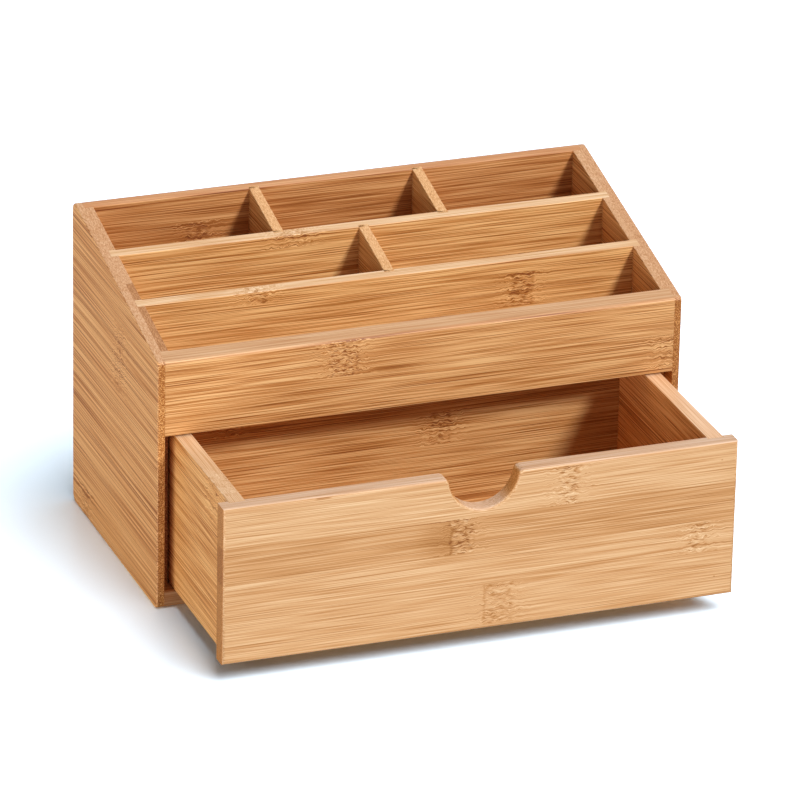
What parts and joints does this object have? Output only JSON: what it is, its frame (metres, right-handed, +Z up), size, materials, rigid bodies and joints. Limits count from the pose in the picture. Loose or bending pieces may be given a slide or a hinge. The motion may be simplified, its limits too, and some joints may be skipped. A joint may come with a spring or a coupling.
{
  "type": "makeup organizer",
  "caption": "Bamboo makeup organizer: a carcass with a sloping top, rows of open compartments and a wide drawer with a finger notch below.",
  "frame": {"origin": "middle of the carcass's footprint, on the surface it stands on", "axes": "+X to the right as seen from the front, +Y to the back, +Z up; the drawer pulls out along -Y"},
  "size_m": [0.32, 0.2632, 0.1913],
  "materials": {
    "bamboo_board": "satin clear lacquer",
    "bamboo_thin_board": "satin clear lacquer",
    "bamboo_drawer": "satin clear lacquer"
  },
  "bodies": {
    "carcass": {"side_panel_left": "bamboo_board", "side_panel_right": "bamboo_board", "back_panel": "bamboo_board", "bottom_panel": "bamboo_board", "upper_front_board": "bamboo_board", "compartment_floor": "bamboo_thin_board", "long_divider_rear": "bamboo_thin_board", "long_divider_front": "bamboo_thin_board", "short_divider_rear_left": "bamboo_thin_board", "short_divider_rear_right": "bamboo_thin_board", "short_divider_middle": "bamboo_thin_board"},
    "drawer": {"drawer_front": "bamboo_drawer", "drawer_side_left": "bamboo_drawer", "drawer_side_right": "bamboo_drawer", "drawer_back": "bamboo_drawer", "drawer_bottom": "bamboo_drawer"}
  },
  "joints": [
    {"name": "drawer_slide", "type": "slide", "parent": "carcass", "child": "drawer", "axis": [0, -1, 0], "range_m": [-0.1018, 0.0232]}
  ]
}
